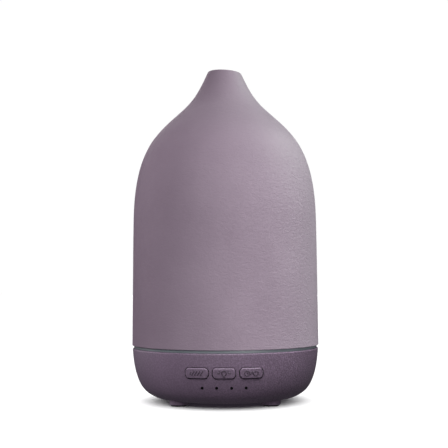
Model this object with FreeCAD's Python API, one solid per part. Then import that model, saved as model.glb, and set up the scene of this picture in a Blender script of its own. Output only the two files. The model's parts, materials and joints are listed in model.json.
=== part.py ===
import FreeCAD
import Part
import math
import os

# Ultrasonic essential oil diffuser: a matte stone-finish cover over a plastic
# base that holds the water tank, ultrasonic disc, fan and electronics.
# Millimetres, +Z up, origin at the centre of the footprint on the table plane.
# The control panel with its three buttons faces -Y, the power socket faces +Y.

os.makedirs("parts", exist_ok=True)
V = FreeCAD.Vector

# ---------------------------------------------------------------- driving sizes
COVER_BOTTOM_Z = 27.2      # seat of the cover on the light ring
COVER_RIM_Z = 26.75        # lower end of the thin rim that centres the cover round the light ring
COVER_RIM_R = 44.0         # inside radius of that rim
COVER_WALL = 3.6           # stoneware wall of the body of the cover
COVER_NECK_WALL = 2.6      # wall at the mouth
MOUTH_Z = 159.12           # height of the mouth on the axis
MOUTH_R = 5.3              # radius of the mist outlet
MOUTH_SLANT = 3.6          # slant of the lip, degrees, lower towards +X
BASE_TOP_Z = 25.4          # top edge of the base bowl
BASE_WALL = 2.2
SEAM_R, SEAM_Z = 34.44, 2.9    # joint between bowl and bottom cover
BOTTOM_Z = 1.8             # flat underside of the bottom cover
FLOOR_IN_Z = 4.0           # inner face of the bottom cover
FOOT_XY = 21.1             # foot centres at (+-FOOT_XY, +-FOOT_XY)
FOOT_R = 4.4
RING_R = 43.8             # outer radius of the light ring
TANK_R = 33.0              # inner radius of the water tank
TANK_WALL = 2.0
TANK_FLOOR_Z = 26.0
TANK_RIM_Z = 62.0
MAX_LINE_Z = 56.5
CHIMNEY_TOP_Z = 146.0
BTN_Z = 16.8               # height of the button row
BTN_W, BTN_H = 10.1, 4.7
BTN_PITCH = 12.0
BTN_GAP = 0.3
BTN_PROUD = 0.75
BTN_TRAVEL = 0.6
LED_Z = 10.1
LED_X = (-9.7, -3.3, 3.3, 9.7)
FAN_X = -16.7              # fan centre
FAN_Z0, FAN_T = 5.4, 7.0
BOARD_Z0, BOARD_T = 5.2, 1.6
JACK_Z = 13.3
PCB_Y = -31.5              # front face of the button board
TANK_UNDER_Z = 24.0


# ---------------------------------------------------------------- helpers
def interp(points, t0=None, t1=None):
    c = Part.BSplineCurve()
    pts = [V(p[0], 0, p[1]) for p in points]
    if t0 is not None and t1 is not None:
        c.interpolate(Points=pts, InitialTangent=V(t0[0], 0, t0[1]), FinalTangent=V(t1[0], 0, t1[1]))
    else:
        c.interpolate(Points=pts)
    return c


def sample(c, n):
    a, b = c.FirstParameter, c.LastParameter
    return [c.value(a + (b - a) * i / (n - 1.0)) for i in range(n)]


def offset_points(c, dist, n, lo=0.0, hi=1.0):
    """Points of the curve moved by dist(point) to the left of its direction of travel."""
    a, b = c.FirstParameter, c.LastParameter
    out = []
    for i in range(n):
        u = a + (b - a) * (lo + (hi - lo) * i / (n - 1.0))
        p = c.value(u)
        t = c.tangent(u)[0]
        nrm = V(-t.z, 0, t.x)
        nrm.normalize()
        d = dist(p) if callable(dist) else dist
        out.append((p.x + nrm.x * d, p.z + nrm.z * d))
    return out


def seg(p, q):
    return Part.LineSegment(V(p[0], 0, p[1]), V(q[0], 0, q[1])).toShape()


def revolve(edges):
    w = Part.Wire(Part.__sortEdges__(edges))
    f = Part.Face(w)
    s = f.revolve(V(0, 0, 0), V(0, 0, 1), 360)
    if s.ShapeType != "Solid":
        s = s.Solids[0]
    if s.Volume < 0:
        s.reverse()
    return s


def rev_poly(points):
    n = len(points)
    return revolve([seg(points[i], points[(i + 1) % n]) for i in range(n)])


def cyl(r, h, p, d=(0, 0, 1)):
    return Part.makeCylinder(r, h, V(*p), V(*d))


def ring(r0, r1, z0, z1, x=0.0, y=0.0):
    return cyl(r1, z1 - z0, (x, y, z0)).cut(cyl(r0, z1 - z0 + 2, (x, y, z0 - 1)))


def box(x0, y0, z0, x1, y1, z1):
    return Part.makeBox(x1 - x0, y1 - y0, z1 - z0, V(x0, y0, z0))


def rbox(x0, y0, z0, x1, y1, z1, r, axis="z"):
    """Box with the four edges along axis rounded."""
    b = box(x0, y0, z0, x1, y1, z1)
    k = {"x": 0, "y": 1, "z": 2}[axis]
    es = []
    for e in b.Edges:
        d = e.Vertexes[1].Point - e.Vertexes[0].Point
        if abs((d.x, d.y, d.z)[k]) > 1e-6:
            es.append(e)
    return b.makeFillet(r, es)


def fuse(shapes):
    s = shapes[0]
    if len(shapes) > 1:
        s = s.multiFuse(shapes[1:])
    return s.removeSplitter()


def cut(s, tools):
    for t in tools:
        s = s.cut(t)
    return s


def solids(shape):
    return shape.Solids


def save(name, shape):
    ss = solids(shape) if not isinstance(shape, list) else [x for y in shape for x in solids(y)]
    assert ss, name
    for s in ss:
        assert s.isValid() and s.Volume > 0, (name, s.isValid(), s.Volume)
    out = ss[0] if len(ss) == 1 else Part.makeCompound(ss)
    out.exportStep("parts/%s.step" % name)
    bb = out.BoundBox
    print("%-20s solids %d  vol %9.2f  z %.2f..%.2f" % (name, len(ss), sum(s.Volume for s in ss), bb.ZMin, bb.ZMax))


def edge_at(shape, test):
    return [e for e in shape.Edges if test(e)]


def tube(points, r, bend):
    """Round wire along straight runs joined by tangent arcs of radius bend."""
    pts = [V(*p) for p in points]
    edges = []
    cur = pts[0]
    for i in range(1, len(pts) - 1):
        a = (pts[i] - pts[i - 1])
        b = (pts[i + 1] - pts[i])
        a.normalize()
        b.normalize()
        turn = math.acos(max(-1, min(1, a.dot(b))))
        cutback = bend * math.tan(turn / 2)
        p1 = pts[i] - a * cutback
        p2 = pts[i] + b * cutback
        mid_dir = (b - a)
        mid_dir.normalize()
        c = pts[i] + mid_dir * (bend / math.cos(turn / 2))
        m = c - mid_dir * bend
        if (p1 - cur).Length > 1e-6:
            edges.append(Part.LineSegment(cur, p1).toShape())
        edges.append(Part.Arc(p1, m, p2).toShape())
        cur = p2
    edges.append(Part.LineSegment(cur, pts[-1]).toShape())
    path = Part.Wire(edges)
    d0 = pts[1] - pts[0]
    prof = Part.Wire([Part.Circle(pts[0], d0, r).toShape()])
    s = path.makePipeShell([prof], True, True)
    if s.ShapeType != "Solid":
        s = s.Solids[0]
    if s.Volume < 0:
        s.reverse()
    expect = math.pi * r * r * path.Length
    assert abs(s.Volume - expect) < 0.02 * expect, (s.Volume, expect)
    return s


# ---------------------------------------------------------------- profiles (radius, height)
COVER_OUT = [(44.69, 26.75), (44.62, 39.7), (44.48, 54.7), (44.38, 69.7), (44.20, 84.7), (43.83, 94.7),
             (42.62, 104.7), (41.03, 111.7), (38.90, 117.7), (35.78, 123.7), (32.03, 128.7), (27.21, 133.7),
             (22.86, 137.7), (18.68, 141.7), (15.30, 145.7), (12.71, 149.7), (10.61, 153.7), (8.68, 157.7),
             (6.83, 161.5)]
BASE_OUT = [(28.3, 1.8), (30.8, 2.04), (33.0, 2.42), (34.44, 2.9), (35.86, 3.65), (37.50, 4.72), (39.10, 6.22),
            (40.48, 8.22), (41.68, 10.7), (42.72, 13.7), (43.63, 17.7), (44.18, 21.7), (44.50, 25.4)]

cover_curve = interp(COVER_OUT, (-0.008, 1.0), (-0.49, 1.0))
base_curve = interp(BASE_OUT, (1.0, 0.03), (0.08, 1.0))


# ---------------------------------------------------------------- stoneware cover
def neck_wall(p):
    k = min(1.0, max(0.0, (p.z - 125.0) / 32.0))
    return COVER_WALL + (COVER_NECK_WALL - COVER_WALL) * k


outer = revolve([cover_curve.toShape(), seg(COVER_OUT[-1], (0, COVER_OUT[-1][1])),
                 seg((0, COVER_OUT[-1][1]), (0, COVER_RIM_Z)), seg((0, COVER_RIM_Z), COVER_OUT[0])])
inner_pts = offset_points(cover_curve, neck_wall, 44, 0.0, 0.962)
inner_pts[0] = (inner_pts[0][0], COVER_BOTTOM_Z - 1.0)
inner_pts = [p for p in inner_pts if p[0] > MOUTH_R + 0.15]
inner_curve = interp(inner_pts)
q0, q1 = inner_pts[0], inner_pts[-1]
cavity = revolve([inner_curve.toShape(), seg(q1, (0, q1[1])), seg((0, q1[1]), (0, q0[1])), seg((0, q0[1]), q0)])
# slanted lip
lip = box(-30, -30, 0, 30, 30, 30)
lip.rotate(V(0, 0, 0), V(0, 1, 0), MOUTH_SLANT)
lip.translate(V(0, 0, MOUTH_Z))
cover = outer.cut(lip)
rim = edge_at(cover, lambda e: e.BoundBox.ZMin > MOUTH_Z - 2.5 and e.BoundBox.ZMax < MOUTH_Z + 2.5
              and e.BoundBox.XLength > 8)
cover = cover.makeFillet(1.05, rim[:1])
foot_edge = edge_at(cover, lambda e: abs(e.BoundBox.ZMax - COVER_RIM_Z) < 1e-3 and e.BoundBox.XLength > 80)
cover = cover.makeFillet(0.3, foot_edge)
cover = cover.cut(cyl(COVER_RIM_R, COVER_BOTTOM_Z - 26.0, (0, 0, 26.0)))   # seat inside the rim
cover = cover.cut(cavity)
cover = cover.cut(cyl(MOUTH_R, 30, (0, 0, 150)))
mouth = edge_at(cover, lambda e: e.BoundBox.ZMin > MOUTH_Z - 1.5 and e.BoundBox.ZMax < MOUTH_Z + 1.5
                and abs(e.BoundBox.YLength - 2 * MOUTH_R) < 0.05)
cover = cover.makeFillet(0.8, mouth)
bot_in = edge_at(cover, lambda e: abs(e.BoundBox.ZMax - COVER_BOTTOM_Z) < 1e-3
                 and 80 < e.BoundBox.XLength < 84)
cover = cover.makeChamfer(0.5, bot_in[:1])
save("stone_cover", cover)

# ---------------------------------------------------------------- base bowl
ob = [p for p in BASE_OUT if p[1] >= SEAM_Z]
u_seam = base_curve.parameter(V(SEAM_R, 0, SEAM_Z))
bowl_curve = base_curve.copy()
bowl_curve.segment(u_seam, base_curve.LastParameter)
in_pts = offset_points(bowl_curve, BASE_WALL, 26)
in_pts[-1] = (in_pts[-1][0], BASE_TOP_Z)
in_curve = interp(in_pts)
LIP_R = 32.7
bowl = revolve([bowl_curve.toShape(), seg((BASE_OUT[-1][0], BASE_TOP_Z), in_pts[-1]), in_curve.toShape(),
                seg(in_pts[0], (LIP_R, in_pts[0][1])), seg((LIP_R, in_pts[0][1]), (LIP_R, SEAM_Z)),
                seg((LIP_R, SEAM_Z), (SEAM_R, SEAM_Z))])
top_edge = edge_at(bowl, lambda e: abs(e.BoundBox.ZMin - BASE_TOP_Z) < 1e-3 and e.BoundBox.XLength > 88)
bowl = bowl.makeFillet(0.55, top_edge)
# windows for the buttons, pinholes for the timer lights
btn_x = (-BTN_PITCH, 0.0, BTN_PITCH)
W, H = BTN_W + 2 * BTN_GAP, BTN_H + 2 * BTN_GAP
for x in btn_x:
    bowl = bowl.cut(rbox(x - W / 2, -50, BTN_Z - H / 2, x + W / 2, -30, BTN_Z + H / 2, 1.75 + BTN_GAP, "y"))
for x in LED_X:
    bowl = bowl.cut(cyl(0.68, 20, (x, -50, LED_Z), (0, 1, 0)))
# power socket hole with a flat seat for the plug
bowl = bowl.cut(cyl(4.15, 20, (0, 30, JACK_Z), (0, 1, 0)))
bowl = bowl.cut(cyl(5.7, 10, (0, 41.45, JACK_Z), (0, 1, 0)))
# shelf ribs that carry the light board, kept clear of the panel
shelf = []
for a in (20, 70, 110, 160, 200, 232, 308, 340):
    b = box(39.2, -1.4, 19.8, 43.0, 1.4, 21.6)
    b.rotate(V(0, 0, 0), V(0, 0, 1), a)
    shelf.append(b)
bowl = fuse([bowl] + shelf)
save("base_bowl", bowl)


def shell_solid(extra):
    """Solid inside the bowl's outer surface grown by extra, for parts that follow it."""
    pts = offset_points(bowl_curve, -extra, 26)
    c = interp(pts)
    return revolve([c.toShape(), seg(pts[-1], (0, pts[-1][1])), seg((0, pts[-1][1]), (0, pts[0][1])),
                    seg((0, pts[0][1]), pts[0])])


# ---------------------------------------------------------------- buttons
proud = shell_solid(BTN_PROUD)
behind = shell_solid(-(BASE_WALL + 0.3))
names = ("mist_button", "light_button", "timer_button")
FLANGE_BACK = (-36.7, -39.4, -36.7)
STEM_TIP = -35.4
for name, x, back in zip(names, btn_x, FLANGE_BACK):
    prism = rbox(x - BTN_W / 2, -50, BTN_Z - BTN_H / 2, x + BTN_W / 2, back, BTN_Z + BTN_H / 2, 1.75, "y")
    cap = prism.common(proud)
    front = edge_at(cap, lambda e: e.BoundBox.YMax < -39.0 and e.BoundBox.YMin < -40.0
                    and not (e.BoundBox.YLength > 3.4 and e.BoundBox.XLength < 0.01))
    face = max(cap.Faces, key=lambda f: f.Area if f.BoundBox.YMax < -38 and type(f.Surface).__name__ != "Plane" else 0)
    cap = cap.makeFillet(0.55, face.OuterWire.Edges)
    flange = rbox(x - BTN_W / 2 + 0.4, -50, BTN_Z - 3.7, x + BTN_W / 2 - 0.4, back, BTN_Z + 3.7, 0.8, "y").common(behind)
    stem = cyl(1.5, STEM_TIP - back + 0.5, (x, back - 0.5, BTN_Z), (0, 1, 0))
    save(name, fuse([cap, flange, stem]))

# ---------------------------------------------------------------- button board
pcb = box(-19.5, PCB_Y, 9.2, 19.5, PCB_Y + 1.2, 21.0)
for x in (-17.2, 17.2):
    pcb = pcb.cut(cyl(1.1, 4, (x, PCB_Y - 1, 13.0), (0, 1, 0)))
save("button_board", pcb)
sw, pl = [], []
for x in btn_x:
    b = rbox(x - 3, PCB_Y - 3.0, BTN_Z - 2.2, x + 3, PCB_Y, BTN_Z + 2.2, 0.4, "y")
    sw.append(b.cut(cyl(1.06, 2.0, (x, PCB_Y - 3.0, BTN_Z), (0, 1, 0))))
save("switch_bodies", sw)
for name, x in zip(("mist", "light", "timer"), btn_x):
    save("%s_plunger" % name, cyl(1.0, 2.1, (x, STEM_TIP, BTN_Z), (0, 1, 0)))
save("timer_leds", [rbox(x - 0.8, PCB_Y - 0.8, LED_Z - 0.5, x + 0.8, PCB_Y, LED_Z + 0.7, 0.15, "y") for x in LED_X])
pipes = [box(-10.6, -35.6, LED_Z - 0.45, 10.6, -34.6, LED_Z + 0.45)]
for x in LED_X:
    y_out = -math.sqrt(41.42 ** 2 - x ** 2) + 0.6
    y_in = -math.sqrt(38.8 ** 2 - x ** 2) + 0.35
    pipes.append(cyl(0.9, (PCB_Y - 0.9) - y_in, (x, y_in, LED_Z), (0, 1, 0)))
    pipes.append(cyl(0.62, y_in - y_out + 0.3, (x, y_out, LED_Z), (0, 1, 0)))
save("timer_light_pipes", fuse(pipes))
screws = []
for x in (-17.2, 17.2):
    h = cyl(1.8, 1.1, (x, PCB_Y - 1.1, 13.0), (0, 1, 0))
    h = h.cut(box(x - 1.2, PCB_Y - 1.2, 12.75, x + 1.2, PCB_Y - 0.6, 13.25))
    screws.append(fuse([h, cyl(0.95, 4.4, (x, PCB_Y - 0.2, 13.0), (0, 1, 0))]))
save("button_board_screws", screws)

# ---------------------------------------------------------------- light ring, seal, light board
plate = ring(36.8, RING_R, BASE_TOP_Z, COVER_BOTTOM_Z)
re = edge_at(plate, lambda e: e.BoundBox.XLength > 87)
plate = plate.makeFillet(0.25, re[:0] + [e for e in re if abs(e.BoundBox.ZMin - e.BoundBox.ZMax) < 1e-6])
light = fuse([plate, ring(40.7, 41.95, 23.2, BASE_TOP_Z + 0.2)])
light = light.cut(ring(38.2, 39.9, 26.8, 28.0))
save("light_ring", light)
save("deck_seal", ring(38.25, 39.85, 26.8, COVER_BOTTOM_Z))
lb = ring(36.7, 41.3, 21.6, 22.4)
save("light_board", lb)
leds = []
for k in range(8):
    b = rbox(37.5, -1.4, 22.4, 40.3, 1.4, 23.6, 0.3)
    b.rotate(V(0, 0, 0), V(0, 0, 1), 22.5 + 45 * k)
    leds.append(b)
save("ring_leds", leds)

# ---------------------------------------------------------------- tank housing
RO = TANK_R + TANK_WALL
wall = rev_poly([(0, TANK_UNDER_Z), (RO, TANK_UNDER_Z), (RO, 27.2), (40.4, 27.2), (40.4, 31.0), (38.9, 31.0),
                 (38.9, 29.2), (RO, 29.2), (RO, TANK_RIM_Z), (TANK_R, TANK_RIM_Z), (TANK_R, TANK_FLOOR_Z + 1.2),
                 (TANK_R - 1.2, TANK_FLOOR_Z), (10.5, TANK_FLOOR_Z - 0.4), (0, TANK_FLOOR_Z - 0.4)])
tops = edge_at(wall, lambda e: abs(e.BoundBox.ZMin - 31.0) < 1e-3 and abs(e.BoundBox.ZMax - 31.0) < 1e-3)
wall = wall.makeFillet(0.5, tops)
rims = edge_at(wall, lambda e: abs(e.BoundBox.ZMin - TANK_RIM_Z) < 1e-3 and abs(e.BoundBox.ZMax - TANK_RIM_Z) < 1e-3)
wall = wall.makeFillet(0.5, rims)
feet_xy = [(sx * FOOT_XY, sy * FOOT_XY) for sx in (-1, 1) for sy in (-1, 1)]
bosses = [cyl(2.75, TANK_UNDER_Z - FLOOR_IN_Z + 0.3, (x, y, FLOOR_IN_Z)) for x, y in feet_xy]
nest = cyl(14.0, 5.3, (0, 0, 19.0))
tank = fuse([wall, nest] + bosses)
tank = tank.cut(cyl(10.2, 4.4, (0, 0, 19.0)))          # nest for the disc and its gasket
tank = tank.cut(cyl(7.2, 10.0, (0, 0, 19.0)))          # opening over the disc
for x, y in feet_xy:
    tank = tank.cut(cyl(1.3, 12.0, (x, y, FLOOR_IN_Z)))
for k in range(3):
    a = math.radians(90 + 120 * k)
    tank = tank.cut(cyl(0.85, 4.0, (12.1 * math.cos(a), 12.1 * math.sin(a), 19.0)))
# opening for the standpipe, pouring notch
DX0, DX1, DY = -29.8, -21.8, 7.6
tank = tank.cut(rbox(DX0 + 0.65, -DY + 0.65, 20, DX1 - 0.65, DY - 0.65, 30, 1.2))
tank = tank.cut(box(30, -6.0, TANK_RIM_Z - 2.6, 38, 6.0, TANK_RIM_Z + 2))
# fill line and two shorter marks on the rear wall
marks = []
for z, half in ((MAX_LINE_Z, 22.0), (MAX_LINE_Z - 10, 10.0), (MAX_LINE_Z - 20, 10.0)):
    m = ring(TANK_R - 0.5, TANK_R + 0.5, z - 0.4, z + 0.4)
    m = m.common(Part.makeCylinder(40, 5, V(0, 0, z - 2), V(0, 0, 1), 2 * half).rotate(V(0, 0, 0), V(0, 0, 1), 90 - half))
    marks.append(m)
tank = fuse([tank] + marks)
save("tank_housing", tank)

# standpipe that brings the fan's air above the water
pipe_o = rbox(DX0, -DY, TANK_FLOOR_Z, DX1, DY, 60.0, 1.6)
foot = rbox(DX0 + 0.7, -DY + 0.7, TANK_UNDER_Z, DX1 - 0.7, DY - 0.7, TANK_FLOOR_Z + 1, 1.15)
pipe_i = rbox(DX0 + 1.4, -DY + 1.4, 20, DX1 - 1.4, DY - 1.4, 70, 0.8)
pipe = fuse([pipe_o, foot]).cut(pipe_i)
slope = Part.Face(Part.makePolygon([V(DX0 - 1, -20, 60.5), V(DX1 + 1, -20, 60.5), V(DX1 + 1, -20, 55.5), V(DX1, -20, 55.5), V(DX0 - 1, -20, 60.5)])).extrude(V(0, 40, 0))
pipe = pipe.cut(slope)
save("air_standpipe", pipe)

# ---------------------------------------------------------------- ultrasonic disc group
gasket = ring(6.4, 10.1, 20.6, 23.4).cut(cyl(8.5, 0.7, (0, 0, 21.6)))
save("disc_gasket", gasket)
save("ultrasonic_disc", cyl(8.4, 0.7, (0, 0, 21.6)))
clamp = fuse([cyl(13.6, 1.2, (0, 0, 17.8)), ring(6.6, 9.9, 18.8, 20.6)]).cut(cyl(6.0, 10, (0, 0, 15)))
cs = []
for k in range(3):
    a = math.radians(90 + 120 * k)
    p = (12.1 * math.cos(a), 12.1 * math.sin(a))
    clamp = clamp.cut(cyl(0.95, 4, (p[0], p[1], 16)))
    cs.append(fuse([cyl(1.4, 0.9, (p[0], p[1], 16.9)), cyl(0.8, 4.4, (p[0], p[1], 17.6))]))
save("disc_clamp", clamp)
save("clamp_screws", cs)

# ---------------------------------------------------------------- fan
fx = FAN_X
fz0, fz1 = FAN_Z0, FAN_Z0 + FAN_T
frame = rbox(fx - 15, -15, fz0, fx + 15, 15, fz1, 2.6)
frame = frame.cut(cyl(13.9, 20, (fx, 0, 0)))
hubbase = cyl(8.0, 1.0, (fx, 0, fz0))
struts = []
for a in (45, 165, 285):
    s = box(6.0, -0.9, fz0, 14.2, 0.9, fz0 + 1.0)
    s.rotate(V(0, 0, 0), V(0, 0, 1), a)
    s.translate(V(fx, 0, 0))
    struts.append(s)
bearing = cyl(2.2, 3.0, (fx, 0, fz0))
frame = fuse([frame, hubbase, bearing] + struts).cut(cyl(0.8, 20, (fx, 0, fz0 + 0.4)))
corners = [(fx + sx * 12.0, sy * 12.0) for sx in (-1, 1) for sy in (-1, 1)]
for x, y in corners:
    frame = frame.cut(cyl(1.35, 20, (x, y, 0)))
save("fan_frame", frame)
hub = cyl(8.4, 5.2, (fx, 0, fz0 + 1.4)).cut(cyl(7.6, 4.4, (fx, 0, fz0 + 1.4)))
hub = fuse([hub, cyl(0.75, 5.0, (fx, 0, fz0 + 0.8))])
he = edge_at(hub, lambda e: abs(e.BoundBox.ZMin - (fz0 + 6.6)) < 1e-3 and e.BoundBox.XLength > 16)
hub = hub.makeFillet(0.6, he)
blades = []
for k in range(7):
    b = box(8.0, -3.4, -0.35, 14.5, 3.4, 0.35)
    b.rotate(V(0, 0, 0), V(1, 0, 0), 38)
    b.rotate(V(0, 0, 0), V(0, 0, 1), 360.0 / 7 * k)
    b.translate(V(fx, 0, fz0 + 4.0))
    blades.append(b.common(ring(8.0, 13.4, fz0 + 1.6, fz0 + 5.9, fx, 0)))
rotor = hub
for b in blades:
    rotor = rotor.fuse(b)
save("fan_rotor", rotor)
save("fan_gasket", ring(13.3, 14.15, FLOOR_IN_Z, fz0, fx, 0))
save("fan_screws", [fuse([cyl(2.1, 1.3, (x, y, fz1)), cyl(1.1, fz1 - 2.9, (x, y, 2.9))]).cut(
    box(x - 1.4, y - 0.3, fz1 + 0.7, x + 1.4, y + 0.3, fz1 + 2)) for x, y in corners[:1] + corners[3:]])
# hood that leads the fan's air to the standpipe
hx0, hx1, hmid = fx - 15, fx + 15, -15.4
T = 1.0
hood = fuse([box(hx0, -15, fz1, hmid, 15, TANK_UNDER_Z), box(hmid - 0.5, -15, fz1, hx1, 15, 16.6)])
hood = hood.cut(box(hx0 + T, -15 + T, fz1 - 1, hmid - T, 15 - T, TANK_UNDER_Z - T))
hood = hood.cut(box(hmid - T - 1, -15 + T, fz1 - 1, hx1 - T, 15 - T, 16.6 - T))
hood = hood.cut(rbox(DX0 + 1.4, -DY + 1.4, 20, DX1 - 1.4, DY - 1.4, 30, 1.1))
for x, y in corners:
    hood = hood.cut(cyl(2.5, fz1 + 2.0 - fz1 + 0.5, (x, y, fz1 - 0.5)))
save("air_hood", max(hood.Solids, key=lambda s: s.Volume))

# ---------------------------------------------------------------- bottom cover with feet
bc = base_curve.copy()
bc.segment(base_curve.FirstParameter, u_seam)
bottom = revolve([seg((0, BOTTOM_Z), (BASE_OUT[0][0], BOTTOM_Z)), bc.toShape(), seg((SEAM_R, SEAM_Z), (LIP_R - 0.15, SEAM_Z)),
                  seg((LIP_R - 0.15, SEAM_Z), (LIP_R - 0.15, FLOOR_IN_Z)),
                  seg((LIP_R - 0.15, FLOOR_IN_Z), (0, FLOOR_IN_Z)), seg((0, FLOOR_IN_Z), (0, BOTTOM_Z))])
adds = []
for x, y in feet_xy:
    f = cyl(FOOT_R, SEAM_Z - 0.6, (x, y, 0.6))
    fe = edge_at(f, lambda e: abs(e.BoundBox.ZMax - 0.6) < 1e-6)
    adds.append(f.makeFillet(0.4, fe))
adds += [cyl(2.6, fz0 - FLOOR_IN_Z + 0.2, (x, y, FLOOR_IN_Z - 0.2)).cut(ring(LIP_R - 0.4, 45, 0, 7.4))
         for x, y in (corners[0], corners[3])]
board_posts = [(27.5, -12.5), (27.5, 12.5), (3.5, -12.0)]
adds += [cyl(2.1, BOARD_Z0 - FLOOR_IN_Z + 0.2, (x, y, FLOOR_IN_Z - 0.2)) for x, y in board_posts]
for x in (-17.2, 17.2):
    adds.append(box(x - 1.9, PCB_Y + 1.2, FLOOR_IN_Z - 0.2, x + 1.9, PCB_Y + 5.4, 16.0).cut(
        ring(LIP_R - 0.4, 45, 0, 7.4)))
bottom = fuse([bottom] + adds)
for x, y in feet_xy:
    bottom = bottom.cut(cyl(3.8, 1.9 - 1.2, (x, y, 0.6)))
    bottom = bottom.cut(cyl(2.85, 1.6, (x, y, 1.3)))
    bottom = bottom.cut(cyl(1.55, 6, (x, y, 0)))
for x, y in (corners[0], corners[3]):
    bottom = bottom.cut(cyl(1.15, 10, (x, y, 2.85)))
for x, y in board_posts:
    bottom = bottom.cut(cyl(0.95, 10, (x, y, 2.85)))
for x in (-17.2, 17.2):
    bottom = bottom.cut(cyl(1.0, 3.2, (x, PCB_Y + 1.2, 13.0), (0, 1, 0)))
# air intake slots under the fan, following a circle
slots = []
n = 9
pitch = 2.9
for i in range(n):
    y = (i - (n - 1) / 2.0) * pitch
    half = math.sqrt(13.2 ** 2 - y ** 2)
    slots.append(rbox(fx - half, y - 0.75, 0, fx + half, y + 0.75, 4.5, 0.7))
bottom = cut(bottom, slots)
bottom = bottom.cut(rbox(3.0, -11.0, 1.0, 27.0, 11.0, BOTTOM_Z + 0.3, 1.5))   # blank label recess
bottom = bottom.removeSplitter()
save("bottom_cover", bottom)
pads = []
for x, y in feet_xy:
    p = cyl(3.72, 1.3, (x, y, 0))
    pe = edge_at(p, lambda e: abs(e.BoundBox.ZMax) < 1e-6)
    pads.append(p.makeFillet(0.3, pe))
save("rubber_feet", pads)
save("housing_screws", [fuse([cyl(2.75, 1.4, (x, y, 1.5)), cyl(1.25, 11.0, (x, y, 2.8))]) for x, y in feet_xy])

# ---------------------------------------------------------------- main board
zb0, zb1 = BOARD_Z0, BOARD_Z0 + BOARD_T
mb = fuse([rbox(0.2, -16, zb0, 30.6, 16, zb1, 2.0), box(-6.5, 14, zb0, 9.0, 30.0, zb1)])
mb = mb.cut(box(-8, 10, 0, 0.2, 16.6, 20))
for x, y in board_posts:
    mb = mb.cut(cyl(1.1, 10, (x, y, 0)))
save("main_board", mb.Solids[0])
save("board_screws", [fuse([cyl(1.8, 1.1, (x, y, zb1)), cyl(0.9, zb1 - 2.9 + 0.1, (x, y, 2.9))]).cut(
    box(x - 1.2, y - 0.25, zb1 + 0.6, x + 1.2, y + 0.25, zb1 + 2)) for x, y in board_posts])
ind = cyl(4.0, 6.0, (20.0, 7.5, zb1))
ind = ind.cut(ring(3.1, 5.0, zb1 + 1.2, zb1 + 4.8, 20.0, 7.5))
save("inductor", ind)
save("inductor_winding", ring(3.1, 3.8, zb1 + 1.2, zb1 + 4.8, 20.0, 7.5))
caps = []
for x, y, r, h in ((28.0, 0.5, 2.5, 8.0), (13.0, 11.8, 3.15, 9.0)):
    c = cyl(r, h, (x, y, zb1))
    ce = edge_at(c, lambda e: abs(e.BoundBox.ZMin - (zb1 + h)) < 1e-6)
    caps.append(c.makeFillet(0.4, ce))
save("capacitors", caps)
hs = box(16.0, -14.6, zb1, 24.0, -13.4, zb1 + 9.0)
fins = [box(16.0 + 1.7 * k, -13.4, zb1, 16.8 + 1.7 * k, -9.6, zb1 + 9.0) for k in range(5)]
save("heat_sink", fuse([hs] + [f for f in fins]))
save("drive_transistor", rbox(17.0, -15.9, zb1, 23.0, -14.6, zb1 + 7.0, 0.2, "y"))
save("control_chip", rbox(14.0, -4.0, zb1 + 0.1, 19.0, 1.0, zb1 + 1.6, 0.3))
conns = []
conn_at = {"fan": (2.2, -7.0, 6.4, -1.0), "disc": (7.4, -3.0, 11.6, 3.0), "buttons": (7.0, -15.4, 14.0, -11.2),
           "ring": (26.4, -8.6, 30.6, -3.6)}
for k, (x0, y0, x1, y1) in conn_at.items():
    conns.append(rbox(x0, y0, zb1, x1, y1, zb1 + 3.4, 0.3))
save("board_connectors", conns)

# ---------------------------------------------------------------- power socket
jb = rbox(-4.5, 22.3, zb1, 4.5, 36.4, zb1 + 11.0, 0.5, "y")
nose = cyl(4.0, 41.45 - 36.0, (0, 36.0, JACK_Z), (0, 1, 0))
jack = fuse([jb, nose])
jack = jack.cut(cyl(3.15, 9.55, (0, 31.9, JACK_Z), (0, 1, 0)))
jack = jack.cut(cyl(1.4, 3.0, (0, 29.4, JACK_Z), (0, 1, 0)))
ne = edge_at(jack, lambda e: abs(e.BoundBox.YMin - 41.45) < 1e-3 and abs(e.BoundBox.YMax - 41.45) < 1e-3)
jack = jack.makeChamfer(0.3, ne)
save("power_socket", jack)
pin = cyl(1.05, 8.7, (0, 31.9, JACK_Z), (0, 1, 0))
pin_e = edge_at(pin, lambda e: abs(e.BoundBox.YMin - 40.6) < 1e-3)
pin = pin.makeChamfer(0.3, pin_e)
save("socket_pin", fuse([pin, cyl(1.35, 2.4, (0, 29.5, JACK_Z), (0, 1, 0))]))

# ---------------------------------------------------------------- internal leads
def leads(name, routes, r, bend):
    save(name, [tube(p, r, bend) for p in routes])


leads("fan_lead", [[(fx + 15.0, y, 8.6), (2.2, y, 8.6)] for y in (-5.0, -3.0)], 0.5, 3.0)
leads("disc_lead", [[(x, y, 21.6), (x, y, 14.0), (9.5, y, 14.0), (9.5, y, zb1 + 3.4)]
                    for x, y in ((2.0, -1.2), (2.0, 1.2))], 0.5, 3.0)
leads("button_lead", [[(x, PCB_Y + 1.2, 12.5), (x, -13.2, 12.5), (x, -13.2, zb1 + 3.4)]
                      for x in (8.5, 9.8, 11.1, 12.4)], 0.5, 2.0)
leads("ring_lead", [[(37.2, y, 21.6), (37.2, y, 8.4), (30.6, y, 8.4)] for y in (-7.2, -5.0)], 0.5, 3.0)

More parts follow.
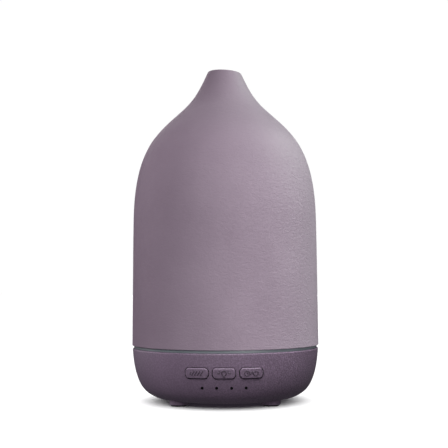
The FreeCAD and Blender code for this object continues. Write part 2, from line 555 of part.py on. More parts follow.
# ---------------------------------------------------------------- mist lid with its chimney
LT = 1.5
LID_OUT = [(33.9, 63.6), (33.5, 69.0), (31.6, 75.5), (27.2, 82.0), (20.8, 88.2), (14.6, 94.5), (10.4, 101.5),
           (8.4, 110.0), (7.7, 122.0), (7.3, 134.0), (7.0, CHIMNEY_TOP_Z)]
lid_curve = interp(LID_OUT, (0.0, 1.0), (-0.02, 1.0))
li = offset_points(lid_curve, LT, 40)
li[0] = (li[0][0], 57.5)
li[-1] = (li[-1][0], CHIMNEY_TOP_Z)
li.insert(1, (32.3, 61.0))
li_curve = interp(li[1:])
lid = revolve([lid_curve.toShape(), seg(LID_OUT[-1], li[-1]), li_curve.toShape(), seg(li[1], (31.1, 61.0)),
               seg((31.1, 61.0), (31.1, 58.0)), seg((31.1, 58.0), (32.6, 58.0)), seg((32.6, 58.0), (32.6, TANK_RIM_Z)),
               seg((32.6, TANK_RIM_Z), (35.9, TANK_RIM_Z)), seg((35.9, TANK_RIM_Z), (35.9, 63.6)),
               seg((35.9, 63.6), LID_OUT[0])])
le = edge_at(lid, lambda e: abs(e.BoundBox.ZMin - CHIMNEY_TOP_Z) < 1e-3)
lid = lid.makeFillet(0.5, le)
save("mist_lid", lid)
print("done")
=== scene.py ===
import json
import math

import bpy
import numpy as np
from mathutils import Matrix, Vector, noise
from mathutils.bvhtree import BVHTree


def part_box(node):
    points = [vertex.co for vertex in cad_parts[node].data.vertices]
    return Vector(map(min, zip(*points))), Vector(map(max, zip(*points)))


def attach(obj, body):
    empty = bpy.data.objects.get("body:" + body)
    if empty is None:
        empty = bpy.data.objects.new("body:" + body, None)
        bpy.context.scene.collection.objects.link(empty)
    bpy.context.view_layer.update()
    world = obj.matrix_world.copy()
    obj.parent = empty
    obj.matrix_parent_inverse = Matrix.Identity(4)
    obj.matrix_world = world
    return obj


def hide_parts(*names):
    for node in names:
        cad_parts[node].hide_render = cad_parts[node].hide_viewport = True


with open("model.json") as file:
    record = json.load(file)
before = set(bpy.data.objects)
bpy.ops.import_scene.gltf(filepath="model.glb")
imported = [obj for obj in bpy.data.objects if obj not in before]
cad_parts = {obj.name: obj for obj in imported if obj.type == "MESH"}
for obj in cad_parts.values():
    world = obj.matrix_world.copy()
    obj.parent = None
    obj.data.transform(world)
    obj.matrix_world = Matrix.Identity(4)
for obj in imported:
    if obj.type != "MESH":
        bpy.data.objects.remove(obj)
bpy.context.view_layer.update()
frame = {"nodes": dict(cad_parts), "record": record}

NODES = frame["nodes"]
SLOT_OF = {s["node"]: s["material_slot"] for s in frame["record"]["subparts"]}
MM = 0.001
scene = bpy.context.scene
coll = scene.collection


# ------------------------------------------------------------------ node helpers
class Mat:
    """A procedural material: small helpers around one Principled shader."""

    def __init__(self, name, color=(0.5, 0.5, 0.5), rough=0.5, metallic=0.0, spec=0.5):
        self.m = bpy.data.materials.new(name)
        self.m.use_nodes = True
        self.t = self.m.node_tree
        self.t.nodes.clear()
        self.out = self.t.nodes.new("ShaderNodeOutputMaterial")
        self.b = self.t.nodes.new("ShaderNodeBsdfPrincipled")
        self.t.links.new(self.b.outputs["BSDF"], self.out.inputs["Surface"])
        self.b.inputs["Base Color"].default_value = (*color, 1)
        self.b.inputs["Roughness"].default_value = rough
        self.b.inputs["Metallic"].default_value = metallic
        self.b.inputs["Specular IOR Level"].default_value = spec
        self.coord = self.t.nodes.new("ShaderNodeTexCoord").outputs["Object"]
        self.height = None

    def new(self, kind, **inputs):
        n = self.t.nodes.new(kind)
        for k, v in inputs.items():
            key = k.replace("_", " ")
            if hasattr(v, "is_output"):
                self.t.links.new(v, n.inputs[key])
            else:
                n.inputs[key].default_value = v
        return n

    def stretched(self, scale):
        n = self.new("ShaderNodeMapping", Scale=scale)
        self.t.links.new(self.coord, n.inputs["Vector"])
        return n.outputs["Vector"]

    def noise(self, scale, detail=3.0, rough=0.55, distortion=0.0, vector=None):
        n = self.new("ShaderNodeTexNoise", Scale=scale, Detail=detail, Roughness=rough, Distortion=distortion)
        self.t.links.new(vector or self.coord, n.inputs["Vector"])
        return n.outputs["Fac"]

    def voronoi(self, scale, feature="F1", vector=None, randomness=1.0):
        n = self.new("ShaderNodeTexVoronoi", Scale=scale, Randomness=randomness)
        n.feature = feature
        self.t.links.new(vector or self.coord, n.inputs["Vector"])
        return n.outputs["Distance"]

    def math(self, op, a, b=None, clamp=False):
        n = self.t.nodes.new("ShaderNodeMath")
        n.operation = op
        n.use_clamp = clamp
        for i, v in enumerate((a, b)):
            if v is None:
                continue
            if hasattr(v, "is_output"):
                self.t.links.new(v, n.inputs[i])
            else:
                n.inputs[i].default_value = v
        return n.outputs[0]

    def ramp(self, fac, stops):
        n = self.t.nodes.new("ShaderNodeValToRGB")
        self.t.links.new(fac, n.inputs["Fac"])
        els = n.color_ramp.elements
        while len(els) < len(stops):
            els.new(0.5)
        for e, (p, c) in zip(els, stops):
            e.position = p
            e.color = (*c, 1) if hasattr(c, "__len__") else (c, c, c, 1)
        return n.outputs["Color"]

    def range(self, fac, lo, hi, a=0.0, b=1.0):
        n = self.t.nodes.new("ShaderNodeMapRange")
        self.t.links.new(fac, n.inputs["Value"])
        n.inputs["From Min"].default_value = a
        n.inputs["From Max"].default_value = b
        n.inputs["To Min"].default_value = lo
        n.inputs["To Max"].default_value = hi
        return n.outputs["Result"]

    def mix(self, fac, a, b, blend="MIX"):
        n = self.t.nodes.new("ShaderNodeMix")
        n.data_type = "RGBA"
        n.blend_type = blend
        n.clamp_factor = True
        for key, v in (("Factor", fac), ("A", a), ("B", b)):
            sockets = [s for s in n.inputs if s.name == key and s.enabled]
            s = sockets[0]
            if hasattr(v, "is_output"):
                self.t.links.new(v, s)
            elif key == "Factor":
                s.default_value = v
            else:
                s.default_value = (*v, 1)
        return [o for o in n.outputs if o.enabled][0]

    def color(self, socket):
        self.t.links.new(socket, self.b.inputs["Base Color"])

    def rough(self, socket):
        self.t.links.new(socket, self.b.inputs["Roughness"])

    def bump(self, height, strength=1.0, distance=0.0001, before=None):
        n = self.new("ShaderNodeBump", Strength=strength, Distance=distance)
        self.t.links.new(height, n.inputs["Height"])
        if before is not None:
            self.t.links.new(before, n.inputs["Normal"])
        self.t.links.new(n.outputs["Normal"], self.b.inputs["Normal"])
        return n.outputs["Normal"]

    def across(self, left, right, power=1.0, half=0.032):
        """A smooth change from the part's left to its right."""
        t = self.math("POWER", self.range(self.xyz()[0], 0.0, 1.0, -half, half), power)
        return self.range(t, left, right)

    def xyz(self):
        n = self.t.nodes.new("ShaderNodeSeparateXYZ")
        self.t.links.new(self.coord, n.inputs[0])
        return n.outputs


def srgb(r, g, b):
    return tuple(((c / 255.0) / 12.92 if c / 255.0 <= 0.04045 else ((c / 255.0 + 0.055) / 1.055) ** 2.4) for c in (r, g, b))


# ------------------------------------------------------------------ materials
def stoneware():
    """Matt-glazed stoneware with a pressed, leathery grain that is stronger on the body than on the neck; towards the
    part's right the grain's colour contrast is partly painted shading of the relief, and the neck carries painted
    shade.
    """
    m = Mat("stoneware_glaze", rough=0.62, spec=0.32)
    flat = m.stretched((1.0, 1.0, 1.6))
    cloud = m.noise(34.0, 3.0, 0.5)
    mottle = m.noise(520.0, 5.0, 0.62, 0.35, flat)
    speck = m.noise(2300.0, 2.0, 0.5)
    z = m.xyz()[2]
    # painted light: grain strength rises from the part's left to its right, where the light grazes, and falls off on
    # the neck; it sets how strongly the grain shows in the colour (partly real grain, partly painted shading of the
    # relief) and also scales the bumps
    body = m.math("MULTIPLY", m.across(0.26, 1.22, 1.25), m.range(z, 1.0, 0.38, 0.104, 0.128))
    base = m.ramp(cloud, [(0.30, COVER_A), (0.70, COVER_B)])
    grain = m.ramp(mottle, [(0.28, 0.955), (0.50, 1.0), (0.74, 1.035)])
    tinted = m.mix(m.math("MULTIPLY", body, 0.75, True), base, m.mix(1.0, base, grain, "MULTIPLY"))
    dust = m.ramp(speck, [(0.30, 0.96), (0.55, 1.0), (0.80, 1.03)])
    # painted shade: the colour darkens towards the neck and mouth
    glaze_painted_neck_shade = m.ramp(m.range(z, 0.0, 1.0, 0.122, 0.158), [(0.0, 1.0), (0.5, 0.90), (1.0, 0.84)])
    m.color(m.mix(1.0, m.mix(0.6, tinted, dust, "MULTIPLY"), glaze_painted_neck_shade, "MULTIPLY"))
    m.rough(m.range(mottle, 0.70, 0.52, 0.25, 0.75))
    wrinkle = m.noise(570.0, 4.0, 0.60, 0.6, flat)
    streak = m.noise(230.0, 3.0, 0.55, 0.2, m.stretched((1.0, 1.0, 5.5)))
    first = m.bump(m.math("MULTIPLY", streak, body), 0.3, 0.00018)
    second = m.bump(m.math("MULTIPLY", wrinkle, body), 0.75, 0.00044, first)
    m.bump(m.math("MULTIPLY", speck, body), 0.40, 0.00010, second)
    return m.m


def sandy_plastic(name, dark, light, seed=0.0):
    m = Mat(name, rough=0.5, spec=0.42)
    cloud = m.noise(28.0 + seed, 2.0, 0.5)
    sand = m.noise(1500.0, 2.0, 0.55)
    pits = m.voronoi(1300.0)
    # painted light: the grit shows more strongly towards the part's right, where light glints in the sand; in the
    # colour this is partly real grit and partly painted glints and shade, and it also scales the bumps
    side = m.across(0.66, 2.0, 1.3)
    base = m.ramp(cloud, [(0.3, dark), (0.7, light)])
    grit = m.ramp(sand, [(0.30, 0.72), (0.52, 1.0), (0.72, 1.36)])
    m.color(m.mix(m.math("MULTIPLY", side, 0.62, True), base, m.mix(1.0, base, grit, "MULTIPLY")))
    m.rough(m.range(sand, 0.60, 0.40, 0.3, 0.7))
    first = m.bump(m.math("MULTIPLY", sand, side), 0.55, 0.00016)
    m.bump(m.math("MULTIPLY", pits, side), 0.35, 0.00010, first)
    return m.m


def frosted_ring():
    m = Mat("frosted_ring", rough=0.38, spec=0.5)
    haze = m.noise(60.0, 3.0, 0.5)
    fine = m.noise(1400.0, 2.0, 0.5)
    m.color(m.ramp(haze, [(0.3, RING_A), (0.7, RING_B)]))
    m.rough(m.range(fine, 0.34, 0.46, 0.3, 0.7))
    m.bump(fine, 0.2, 0.00004)
    return m.m


def moulded(name, color, rough, spread=0.04, bump_mm=0.03, scale=900.0, spec=0.45):
    """Plain moulded plastic: faint flow marks, fine texture, uneven gloss."""
    m = Mat(name, color, rough, spec=spec)
    flow = m.noise(55.0, 3.0, 0.5, 0.6)
    fine = m.noise(scale, 3.0, 0.55)
    lo = tuple(c * (1 - spread) for c in color)
    hi = tuple(min(1.0, c * (1 + spread)) for c in color)
    m.color(m.ramp(flow, [(0.3, lo), (0.7, hi)]))
    m.rough(m.range(fine, max(0.05, rough - 0.06), min(1.0, rough + 0.08), 0.3, 0.7))
    m.bump(fine, 0.35, bump_mm * MM)
    return m.m


def frosted_lid():
    m = Mat("frosted_lid", (0.58, 0.61, 0.62), 0.4)
    flow = m.noise(40.0, 3.0, 0.5, 0.8)
    fine = m.noise(1100.0, 3.0, 0.5)
    m.color(m.ramp(flow, [(0.3, (0.52, 0.55, 0.57)), (0.7, (0.60, 0.62, 0.63))]))
    m.rough(m.range(fine, 0.34, 0.48, 0.3, 0.7))
    m.b.inputs["Transmission Weight"].default_value = 0.45
    m.b.inputs["IOR"].default_value = 1.49
    m.bump(fine, 0.3, 0.00005)
    return m.m


def metal(name, color, rough, brushed=(1, 1, 1), scale=1500.0, spread=0.08):
    m = Mat(name, color, rough, metallic=1.0)
    line = m.noise(scale, 4.0, 0.6, 0.0, m.stretched(brushed))
    tarnish = m.noise(180.0, 3.0, 0.5)
    lo = tuple(c * (1 - spread) for c in color)
    m.color(m.ramp(tarnish, [(0.35, lo), (0.65, color)]))
    m.rough(m.range(line, max(0.08, rough - 0.1), rough + 0.14, 0.3, 0.7))
    m.bump(line, 0.3, 0.00002)
    return m.m


def disc_metal():
    """Steel disc with a ring of solder and a polished centre."""
    m = Mat("disc_metal", (0.72, 0.70, 0.66), 0.25, metallic=1.0)
    x, y, z = m.xyz()[:3]
    r = m.math("SQRT", m.math("ADD", m.math("MULTIPLY", x, x), m.math("MULTIPLY", y, y)))
    rings = m.math("SINE", m.math("MULTIPLY", r, 9000.0))
    spots = m.noise(700.0, 4.0, 0.6)
    m.color(m.mix(m.range(r, 0.0, 1.0, 0.0028, 0.0034), (0.80, 0.78, 0.74), (0.62, 0.58, 0.50)))
    m.rough(m.range(spots, 0.18, 0.42, 0.3, 0.7))
    m.bump(rings, 0.15, 0.00001)
    return m.m


def board(name, mask, copper):
    """Solder mask with darker tracks and small pads."""
    m = Mat(name, mask, 0.4)
    tracks = m.new("ShaderNodeTexBrick", Scale=260.0, Mortar_Size=0.035, Brick_Width=0.9, Row_Height=0.5)
    m.t.links.new(m.coord, tracks.inputs["Vector"])
    dots = m.voronoi(330.0, randomness=0.6)
    base = m.mix(tracks.outputs["Fac"], mask, tuple(min(1, c * 1.6) for c in mask))
    m.color(m.mix(m.range(dots, 1.0, 0.0, 0.10, 0.13), base, copper))
    m.rough(m.range(m.noise(600.0), 0.32, 0.5, 0.3, 0.7))
    m.bump(tracks.outputs["Fac"], 0.3, 0.00003)
    return m.m


COVER_A = srgb(155, 138, 153)
COVER_B = srgb(165, 148, 163)
BASE_DARK = srgb(115, 97, 117)
BASE_LIGHT = srgb(126, 107, 128)
RING_A = srgb(98, 105, 110)
RING_B = srgb(110, 117, 122)

MATS = {
    "stoneware": stoneware(),
    "base_plastic": sandy_plastic("sandy_base", BASE_DARK, BASE_LIGHT),
    "button_plastic": sandy_plastic("sandy_button", BASE_DARK, BASE_LIGHT, 3.0),
    "light_guide": frosted_ring(),
    "tank_plastic": moulded("tank_plastic", (0.56, 0.56, 0.545), 0.32, 0.03, 0.02, 700.0),
    "lid_plastic": frosted_lid(),
    "rubber_black": moulded("rubber_foot", (0.022, 0.021, 0.023), 0.78, 0.15, 0.06, 1500.0, 0.3),
    "silicone": moulded("silicone_seal", (0.52, 0.52, 0.50), 0.6, 0.05, 0.03),
    "black_plastic": moulded("black_plastic", (0.02, 0.02, 0.023), 0.45, 0.15, 0.04),
    "board_green": board("board_green", (0.025, 0.16, 0.06), (0.75, 0.62, 0.40)),
    "board_white": board("board_white", (0.72, 0.72, 0.70), (0.80, 0.66, 0.42)),
    "led_body": moulded("led_body", (0.88, 0.85, 0.62), 0.2, 0.06, 0.01),
    "steel": metal("screw_steel", (0.62, 0.62, 0.63), 0.3, (1, 1, 6)),
    "brass": disc_metal(),
    "aluminium": metal("aluminium_fins", (0.72, 0.73, 0.74), 0.35, (1, 1, 8)),
    "ferrite": moulded("ferrite", (0.05, 0.05, 0.05), 0.7, 0.2, 0.08),
    "copper": metal("copper_wire", (0.78, 0.38, 0.18), 0.3, (1, 1, 30), 400.0),
    "can_sleeve": moulded("can_sleeve", (0.03, 0.04, 0.12), 0.25, 0.1, 0.01),
    "lead_insulation": moulded("lead_insulation", (0.50, 0.04, 0.03), 0.4, 0.08, 0.02),
    "connector_plastic": moulded("connector_plastic", (0.80, 0.77, 0.68), 0.45, 0.04, 0.02),
}
# painted shade: the raised signs are a much darker copy of the button plastic, standing in for the shade along their
# relief
SIGN_PAINTED_SHADE = sandy_plastic("sandy_sign_painted_shade", tuple(c * 0.36 for c in BASE_DARK), tuple(c * 0.46 for c in BASE_LIGHT), 5.0)
# painted shade: the timer light pipes are near-black, standing in for the shade inside their pinholes
PINHOLE_PAINTED_SHADE = moulded("pinhole_painted_shade", (0.006, 0.006, 0.007), 0.7, 0.2, 0.01, 900.0, 0.05)
for name, obj in NODES.items():
    obj.data.materials.clear()
    obj.data.materials.append(PINHOLE_PAINTED_SHADE if name == "timer_light_pipes" else MATS[SLOT_OF[name]])


# ------------------------------------------------------------------ cover: profile and mesh
COVER_OUT = [(44.69, 26.75), (44.62, 39.7), (44.48, 54.7), (44.38, 69.7), (44.20, 84.7), (43.83, 94.7),
             (42.62, 104.7), (41.03, 111.7), (38.90, 117.7), (35.78, 123.7), (32.03, 128.7), (27.21, 133.7),
             (22.86, 137.7), (18.68, 141.7), (15.30, 145.7), (12.71, 149.7), (10.61, 153.7), (8.68, 157.7),
             (6.83, 161.5)]
BOTTOM_Z, RIM_Z, RIM_R = 27.2, 26.75, 44.0
MOUTH_Z, MOUTH_R, SLANT = 159.115, 5.3, math.radians(3.6)


def cubic(points, t0, t1):
    """Clamped cubic through the points, by chord length. Returns a function of the parameter and its end."""
    p = np.array(points, float)
    s = np.concatenate([[0], np.cumsum(np.linalg.norm(np.diff(p, axis=0), axis=1))])
    n = len(p)
    h = np.diff(s)
    d = np.zeros_like(p)
    a0, a1 = np.array(t0, float), np.array(t1, float)
    A = np.zeros((n, n))
    B = np.zeros((n, 2))
    A[0, 0] = A[-1, -1] = 1
    B[0], B[-1] = a0 / np.linalg.norm(a0), a1 / np.linalg.norm(a1)
    for i in range(1, n - 1):
        A[i, i - 1], A[i, i], A[i, i + 1] = h[i], 2 * (h[i] + h[i - 1]), h[i - 1]
        B[i] = 3 * ((p[i + 1] - p[i]) / h[i] * h[i - 1] + (p[i] - p[i - 1]) / h[i - 1] * h[i])
    d = np.linalg.solve(A, B)

    def at(t):
        t = np.atleast_1d(np.asarray(t, float))
        k = np.clip(np.searchsorted(s, t, side="right") - 1, 0, n - 2)
        u = ((t - s[k]) / h[k])[:, None]
        hk = h[k][:, None]
        return ((1 + 2 * u) * (1 - u) ** 2 * p[k] + u * (1 - u) ** 2 * hk * d[k]
                + u * u * (3 - 2 * u) * p[k + 1] + u * u * (u - 1) * hk * d[k + 1])

    return at, s[-1]


def corner(p0, pc, p2, steps, w):
    """Rounded corner as a rational curve from p0 to p2, without its two ends."""
    u = np.linspace(0, 1, steps + 2)[1:-1][:, None]
    a, b, c = (1 - u) ** 2, 2 * w * u * (1 - u), u * u
    return (a * p0 + b * pc + c * p2) / (a + b + c)


def cover_mesh():
    at, end = cubic(COVER_OUT, (-0.008, 1.0), (-0.49, 1.0))
    tt = np.linspace(0, end, 4000)
    pp = at(tt)
    tan = np.gradient(pp, tt, axis=0)
    nrm = np.stack([-tan[:, 1], tan[:, 0]], 1)
    nrm /= np.linalg.norm(nrm, axis=1)[:, None]
    wall = 3.6 - 1.0 * np.clip((pp[:, 1] - 125.0) / 32.0, 0, 1)
    inn = pp + nrm * wall[:, None]
    inn = inn[inn[:, 0] > MOUTH_R]
    AROUND, ROWS, IN_ROWS = 330, 172, 46
    rows = []
    for j in range(AROUND):
        phi = 2 * math.pi * j / AROUND
        slope = math.tan(SLANT) * math.cos(phi)
        # corner of the outside and the lip
        k = np.argmax(pp[:, 1] > MOUTH_Z - slope * pp[:, 0])
        rc = pp[k, 0]
        zc = MOUTH_Z - slope * rc
        t_end = tt[k] - 0.68
        t_start = tt[np.argmax(pp[:, 1] > RIM_Z + 0.3)]
        outer = at(np.linspace(t_start, t_end, ROWS))
        lip = lambda r: np.array([r, MOUTH_Z - slope * r])
        c1 = corner(outer[-1], np.array([rc, zc]), lip(rc - 0.68), 5, 0.846)
        flat = np.array([lip(rc - 0.68), lip(0.5 * (rc - 0.68 + MOUTH_R + 0.8)), lip(MOUTH_R + 0.8)])
        c2 = corner(flat[-1], lip(MOUTH_R), np.array([MOUTH_R, lip(MOUTH_R)[1] - 0.8]), 4, 0.707)
        z_in = inn[-1, 1]
        bore_top = lip(MOUTH_R)[1] - 0.8
        bore = np.array([[MOUTH_R, bore_top], [MOUTH_R, 0.5 * (bore_top + min(z_in, bore_top - 0.1))],
                         [MOUTH_R, min(z_in, bore_top - 0.1)]])
        idx = np.linspace(len(inn) - 1, 0, IN_ROWS)[1:].astype(int)
        inside = inn[idx]
        inside[-1] = [inn[0, 0], BOTTOM_Z + 0.5]
        foot = np.array([[inn[0, 0] + 0.5, BOTTOM_Z], [43.0, BOTTOM_Z], [RIM_R, BOTTOM_Z], [RIM_R, RIM_Z],
                         [COVER_OUT[0][0] - 0.3, RIM_Z]])
        c3 = corner(foot[-1], np.array([COVER_OUT[0][0], RIM_Z]), outer[0], 4, 0.707)
        prof = np.concatenate([outer, c1, flat, c2, bore, inside, foot, c3])
        rows.append(np.stack([prof[:, 0] * math.cos(phi), prof[:, 0] * math.sin(phi), prof[:, 1]], 1))
    g = np.array(rows)                       # around, along, 3
    # leathery relief of the outside, always inwards
    n_out = ROWS
    out = g[:, :n_out]
    du = np.roll(out, -1, 0) - np.roll(out, 1, 0)
    dv = np.gradient(out, axis=1)
    nn = np.cross(du, dv)
    nn /= np.linalg.norm(nn, axis=2)[:, :, None]
    fade = np.clip((out[:, :, 2] - 27.0) / 2.5, 0, 1) * np.clip((158.5 - out[:, :, 2]) / 6.0, 0, 1)
    amp = np.zeros(out.shape[:2])
    for a in range(out.shape[0]):
        for b in range(out.shape[1]):
            x, y, z = out[a, b]
            amp[a, b] = 0.6 * noise.noise((x * 0.42, y * 0.42, z * 0.62)) + 0.4 * noise.noise((x * 0.95 + 9, y * 0.95, z * 1.3))
    depth = 0.014 + 0.045 * np.clip(0.5 + 0.55 * amp, 0, 1) * fade
    g[:, :n_out] = out - nn * depth[:, :, None]
    na, nl = g.shape[:2]
    verts = (g.reshape(-1, 3) * MM).tolist()
    faces = []
    for a in range(na):
        a2 = (a + 1) % na
        for b in range(nl):
            b2 = (b + 1) % nl
            faces.append((a * nl + b, a2 * nl + b, a2 * nl + b2, a * nl + b2))
    me = bpy.data.meshes.new("stone_cover_body")
    me.from_pydata(verts, [], faces)
    me.validate()
    me.update()
    return me


def add(name, me, body, material, replaced=()):
    o = bpy.data.objects.new(name, me)
    coll.objects.link(o)
    me.materials.clear()
    me.materials.append(material)
    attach(o, body)
    if replaced:
        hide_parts(*replaced)
    return o


cover = cover_mesh()
cover.shade_smooth()
cover.set_sharp_from_angle(angle=math.radians(38))
add("stone_cover_body", cover, "cover", MATS["stoneware"], ("stone_cover",))


# ------------------------------------------------------------------ raised signs on the buttons
def surface_of(node):
    o = NODES[node]
    me = o.data
    return BVHTree.FromPolygons([v.co.copy() for v in me.vertices], [tuple(p.vertices) for p in me.polygons])


def strokes(name, node, body, lines, width=0.50, height=0.26):
    """Rounded raised lines that follow the front of a button. Lines are in mm from the button's centre, seen from the front."""
    tree = surface_of(node)
    lo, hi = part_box(node)
    cx, cz = (lo.x + hi.x) / 2, BUTTON_Z * MM
    verts, faces = [], []
    for pts, closed in lines:
        p = np.array(pts, float)
        n = len(p)
        ring_n = 9
        start = len(verts)
        for i in range(n):
            a = p[(i - 1) % n] if (closed or i > 0) else p[0]
            b = p[(i + 1) % n] if (closed or i < n - 1) else p[-1]
            t = (b - a) / np.linalg.norm(b - a)
            side = np.array([t[1], -t[0]])
            k = 1.0
            if not closed:
                e = min(i, n - 1 - i)
                k = (0.35, 0.85, 1.0)[min(e, 2)]
            for q in range(ring_n):
                ang = math.pi * q / (ring_n - 1)
                s = math.cos(ang) * width / 2 * k
                h = math.sin(ang) ** 0.8 * height * (0.55 + 0.45 * k)
                x = cx + (p[i][0] + side[0] * s) * MM
                z = cz + (p[i][1] + side[1] * s) * MM
                hit, nrm, _, _ = tree.ray_cast(Vector((x, -0.08, z)), Vector((0, 1, 0)))
                verts.append(hit + nrm * (h - 0.03) * MM)
            x0, z0 = cx + p[i][0] * MM, cz + p[i][1] * MM
            hit, nrm, _, _ = tree.ray_cast(Vector((x0, -0.08, z0)), Vector((0, 1, 0)))
            verts.append(hit - nrm * 0.15 * MM)
        m = ring_n + 1
        count = n if closed else n - 1
        for i in range(count):
            i2 = (i + 1) % n
            for q in range(m):
                q2 = (q + 1) % m
                faces.append((start + i * m + q, start + i * m + q2, start + i2 * m + q2, start + i2 * m + q))
        if not closed:
            faces.append(tuple(start + q for q in range(m))[::-1])
            faces.append(tuple(start + (n - 1) * m + q for q in range(m)))
    me = bpy.data.meshes.new(name)
    me.from_pydata([tuple(v) for v in verts], [], faces)
    me.validate()
    import bmesh
    bm = bmesh.new()
    bm.from_mesh(me)
    bmesh.ops.recalc_face_normals(bm, faces=bm.faces)
    bm.to_mesh(me)
    bm.free()
    me.shade_smooth()
    return add(name, me, body, SIGN_PAINTED_SHADE)


BUTTON_Z = 16.8


def wave(x0, z0, x1, z1, amp, turns=1.0, n=22):
    out = []
    for i in range(n):
        u = i / (n - 1)
        dx, dz = x1 - x0, z1 - z0
        ln = math.hypot(dx, dz)
        s = amp * math.sin(2 * math.pi * turns * u)
        out.append((x0 + dx * u - dz / ln * s, z0 + dz * u + dx / ln * s))
    return out, False


def circle(x, z, r, a0=0.0, a1=360.0, n=28):
    full = abs(a1 - a0) >= 360
    k = n if full else n - 1
    return [(x + r * math.cos(math.radians(a0 + (a1 - a0) * i / k)), z + r * math.sin(math.radians(a0 + (a1 - a0) * i / k)))
            for i in range(n)], full


def line(x0, z0, x1, z1, n=8):
    return [(x0 + (x1 - x0) * i / (n - 1), z0 + (z1 - z0) * i / (n - 1)) for i in range(n)], False


strokes("mist_sign", "mist_button", "mist_key",
        [wave(-2.05 + k * 1.25, -1.15, -1.15 + k * 1.25, 1.2, 0.20) for k in range(3)]
        + [wave(1.75, -1.15, 2.6, 1.2, 0.20), line(-3.2, -0.35, -2.5, -0.35, 6), line(-3.0, 0.45, -2.3, 0.45, 6)])
strokes("light_sign", "light_button", "light_key",
        [circle(0.0, 0.1, 1.0), line(-0.5, -1.4, 0.5, -1.4), line(-2.9, 0.1, -1.75, 0.1, 7), line(1.75, 0.1, 2.9, 0.1, 7),
         line(-2.3, 1.05, -1.45, 0.8, 6), line(1.45, 0.8, 2.3, 1.05, 6)])
strokes("timer_sign", "timer_button", "timer_key",
        [circle(-1.9, 0.0, 1.05), line(-1.9, 0.0, -1.9, 0.6, 6), line(-1.87, 0.0, -1.45, 0.0, 6),
         wave(-0.35, -0.9, 0.35, 0.9, 0.16), circle(1.9, -0.05, 1.05, 125.0, 415.0, 26), line(1.9, 0.3, 1.9, 1.2, 6)])


# ------------------------------------------------------------------ floor and backdrop
def plane_mesh(name, size):
    me = bpy.data.meshes.new(name)
    s = size / 2
    me.from_pydata([(-s, -s, 0), (s, -s, 0), (s, s, 0), (-s, s, 0)], [], [(0, 1, 2, 3)])
    me.update()
    return me


floor = bpy.data.objects.new("floor", plane_mesh("floor", 8.0))
coll.objects.link(floor)
floor.location.z = -0.00002
# painted light: the floor is paler close to the part, so the soft shadow stays under it
fm = Mat("floor_white", (0.86, 0.86, 0.86), 0.9, spec=0.0)
fx, fy = fm.xyz()[:2]
fr = fm.math("SQRT", fm.math("ADD", fm.math("MULTIPLY", fx, fx), fm.math("MULTIPLY", fy, fy)))
fm.color(fm.mix(fm.range(fr, 0.0, 1.0, 0.046, 0.085), (0.90, 0.90, 0.90), (0.53, 0.53, 0.53)))
floor.data.materials.append(fm.m)
floor.visible_diffuse = False
floor.visible_glossy = False
floor.visible_shadow = False

import bmesh
dome_me = bpy.data.meshes.new("backdrop")
bm = bmesh.new()
bmesh.ops.create_uvsphere(bm, u_segments=48, v_segments=24, radius=3.9)
bmesh.ops.reverse_faces(bm, faces=bm.faces)
bm.to_mesh(dome_me)
bm.free()
dome = bpy.data.objects.new("backdrop", dome_me)
coll.objects.link(dome)
dm = bpy.data.materials.new("backdrop_white")
dm.use_nodes = True
dm.node_tree.nodes.clear()
em = dm.node_tree.nodes.new("ShaderNodeEmission")
em.inputs["Color"].default_value = (1, 1, 1, 1)
em.inputs["Strength"].default_value = 1.01
do = dm.node_tree.nodes.new("ShaderNodeOutputMaterial")
dm.node_tree.links.new(em.outputs[0], do.inputs["Surface"])
dome_me.materials.append(dm)
dome.visible_diffuse = False
dome.visible_glossy = False
dome.visible_shadow = False
dome.visible_volume_scatter = False


# ------------------------------------------------------------------ light
def area(name, at, aim, size, power, color=(1, 1, 1), spread=180.0):
    d = bpy.data.lights.new(name, "AREA")
    d.shape = "RECTANGLE"
    d.size, d.size_y = size
    d.energy = power
    d.color = color
    d.spread = math.radians(spread)
    o = bpy.data.objects.new(name, d)
    coll.objects.link(o)
    o.location = at
    o.rotation_mode = "QUATERNION"
    o.rotation_quaternion = (Vector(aim) - Vector(at)).to_track_quat("-Z", "Y")
    return o


def lamp(name, az, el, power, color, lit, size=(0.45, 0.45), far=0.8):
    """A soft box round the part: az from the front towards the part's right, el above the horizon."""
    a, e = math.radians(az), math.radians(el)
    at = Vector((math.sin(a) * math.cos(e), -math.cos(a) * math.cos(e), math.sin(e))) * far + AIM
    o = area(name, at, AIM, size, power, color)
    o.light_linking.receiver_collection = lit
    return o


AIM = Vector((0, 0, 0.085))
cover_o = bpy.data.objects["stone_cover_body"]
only_cover = bpy.data.collections.new("only_cover")
only_cover.objects.link(cover_o)
only_ring = bpy.data.collections.new("only_ring")
only_ring.objects.link(NODES["light_ring"])
all_but_cover = bpy.data.collections.new("all_but_cover")
all_but_cover.objects.link(floor)
all_but_cover.objects.link(cover_o)
for member in all_but_cover.collection_objects:
    member.light_linking.link_state = "EXCLUDE"
only_floor = bpy.data.collections.new("floor_only")
only_floor.objects.link(floor)

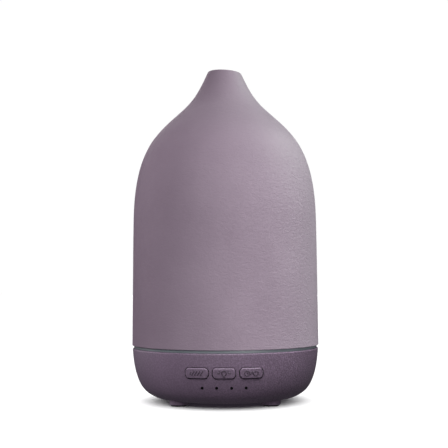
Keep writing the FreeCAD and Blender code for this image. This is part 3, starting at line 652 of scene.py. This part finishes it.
# the pale cover and the dark base are lit by their own boxes, as with flags in a studio
for name, az, el, power, tint in (
        ("cover_left", -110, 12, 1.86, (1.0, 0.84, 0.97)), ("cover_back", -150, 35, 0.96, (1.0, 0.93, 0.98)),
        ("cover_front_left", -15, 12, 0.50, (1.0, 0.90, 1.0)), ("cover_side_right", 108, 35, 4.15, (0.80, 1.0, 0.85)),
        ("cover_front", 15, 12, 3.30, (1.0, 0.99, 1.0)), ("cover_key", 45, 35, 1.34, (0.97, 1.0, 0.98)),
        ("cover_right", 75, 35, 1.41, (1.0, 0.98, 1.0)), ("cover_rear", 180, 12, 1.4, (1.0, 0.98, 1.0))):
    lamp(name, az, el, power, tint, only_cover)
for name, az, el, power, tint in (
        ("base_left", -110, 12, 2.28, (1.0, 0.96, 1.0)), ("base_front_low", -15, -12, 0.45, (1.0, 0.90, 1.0)),
        ("base_front", -15, 35, 4.39, (0.98, 1.0, 0.98)), ("base_key", 45, 62, 6.18, (0.96, 1.0, 0.97)),
        ("base_right", 75, 35, 1.28, (1.0, 1.0, 0.98)), ("base_rear", 180, 25, 3.0, (1.0, 0.98, 1.0))):
    lamp(name, az, el, power, tint, all_but_cover)
lamp("ring_front", 28, 3, 3.0, (1.0, 0.99, 1.0), only_ring)

sun = bpy.data.lights.new("floor_light", "SUN")
sun.energy = 6.7
sun.angle = math.radians(150)
sun_o = bpy.data.objects.new("floor_light", sun)
coll.objects.link(sun_o)
sun_o.light_linking.receiver_collection = only_floor

world = bpy.data.worlds.new("studio")
scene.world = world
world.use_nodes = True
bg = world.node_tree.nodes.get("Background") or world.node_tree.nodes.new("ShaderNodeBackground")
bg.inputs["Color"].default_value = (0.93, 0.94, 1.0, 1)
bg.inputs["Strength"].default_value = 0.10
wo = world.node_tree.nodes.get("World Output") or world.node_tree.nodes.new("ShaderNodeOutputWorld")
world.node_tree.links.new(bg.outputs[0], wo.inputs["Surface"])


# ------------------------------------------------------------------ camera
FOCAL_PX, DIST, HEIGHT = 962.5, 0.467, 0.0567
AZ, PITCH, YAW, ROLL = math.radians(0.9), math.radians(3.445), math.atan(0.8 / FOCAL_PX), math.radians(-0.27)
cam = bpy.data.cameras.new("camera")
cam.sensor_width = 36.0
cam.lens = FOCAL_PX / 448.0 * 36.0
cam.clip_start, cam.clip_end = 0.01, 30.0
cam_o = bpy.data.objects.new("camera", cam)
coll.objects.link(cam_o)
to_axis = Vector((-math.sin(AZ), math.cos(AZ), 0))
right = Vector((math.cos(AZ), math.sin(AZ), 0))
fwd = to_axis * math.cos(YAW) - right * math.sin(YAW)
right = fwd.cross(Vector((0, 0, 1))).normalized()
fwd = (fwd * math.cos(PITCH) + Vector((0, 0, 1)) * math.sin(PITCH)).normalized()
up = right.cross(fwd).normalized()
right, up = right * math.cos(ROLL) + up * math.sin(ROLL), up * math.cos(ROLL) - right * math.sin(ROLL)
m = Matrix((right, up, -fwd)).transposed().to_4x4()
m.translation = Vector((math.sin(AZ) * DIST, -math.cos(AZ) * DIST, HEIGHT))
cam_o.matrix_world = m
scene.camera = cam_o

scene.view_settings.view_transform = "Standard"
scene.view_settings.look = "None"
scene.view_settings.exposure = 0.0
scene.view_settings.gamma = 1.0
